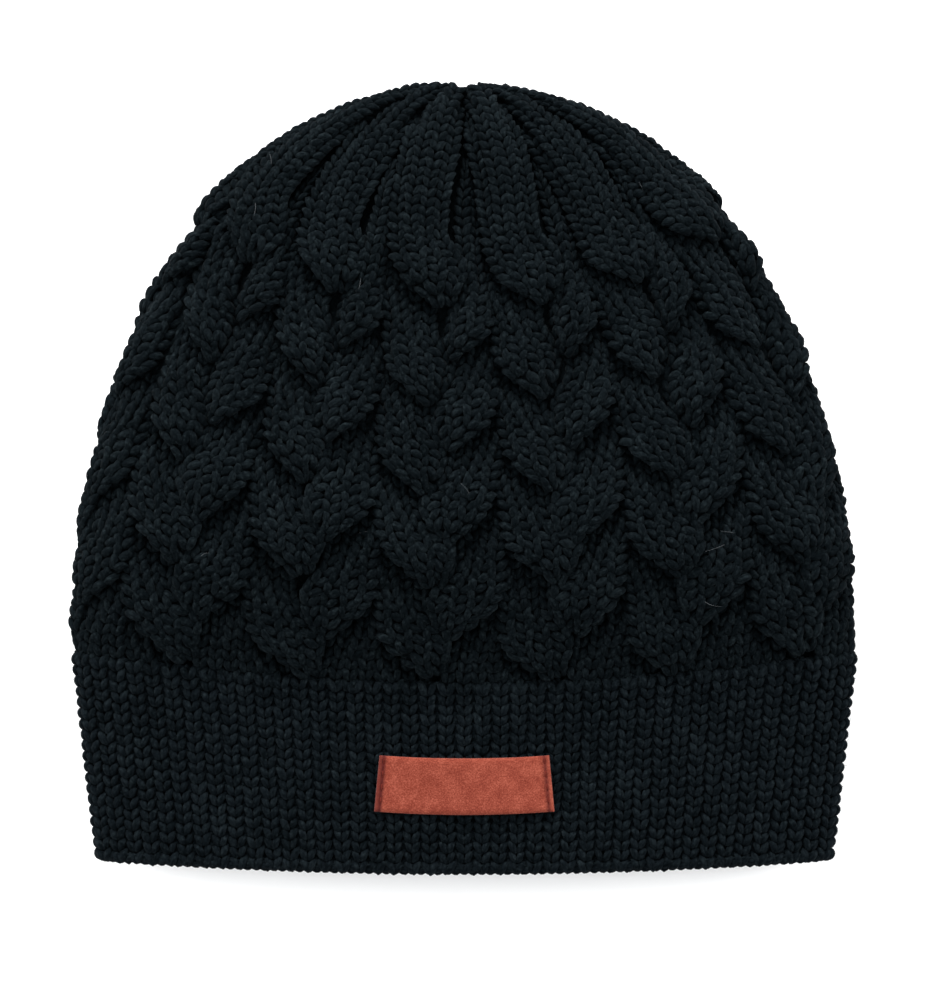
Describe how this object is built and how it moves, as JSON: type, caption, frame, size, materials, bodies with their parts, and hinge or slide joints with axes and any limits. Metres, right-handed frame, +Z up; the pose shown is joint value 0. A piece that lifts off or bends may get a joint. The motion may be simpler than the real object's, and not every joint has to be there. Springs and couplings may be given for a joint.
{
  "type": "knit beanie",
  "caption": "Knit beanie with a basket-cable body, a plain ribbed band, a gathered crown and a small blank sewn-on label, lying flat.",
  "frame": {"origin": "middle of the flat hat's footprint, on the surface it lies on", "axes": "+X across the hat, +Y from the mouth to the crown, +Z up out of the front, which carries the label"},
  "size_m": [0.22, 0.22, 0.0294],
  "materials": {
    "cable_knit": "matte",
    "rib_knit": "matte",
    "sewing_thread": "satin",
    "satin_ribbon": "satin",
    "suede_label": "matte",
    "label_thread": "satin"
  },
  "bodies": {
    "root": {"cable_body": "cable_knit", "rib_band": "rib_knit", "back_seam": "cable_knit", "back_seam_thread": "sewing_thread", "care_label": "satin_ribbon", "care_label_tack": "sewing_thread", "crown_drawn_yarn": "cable_knit", "crown_knot": "cable_knit", "crown_yarn_end": "cable_knit", "label_patch": "suede_label", "label_stitches_left": "label_thread", "label_stitches_right": "label_thread"}
  },
  "joints": []
}
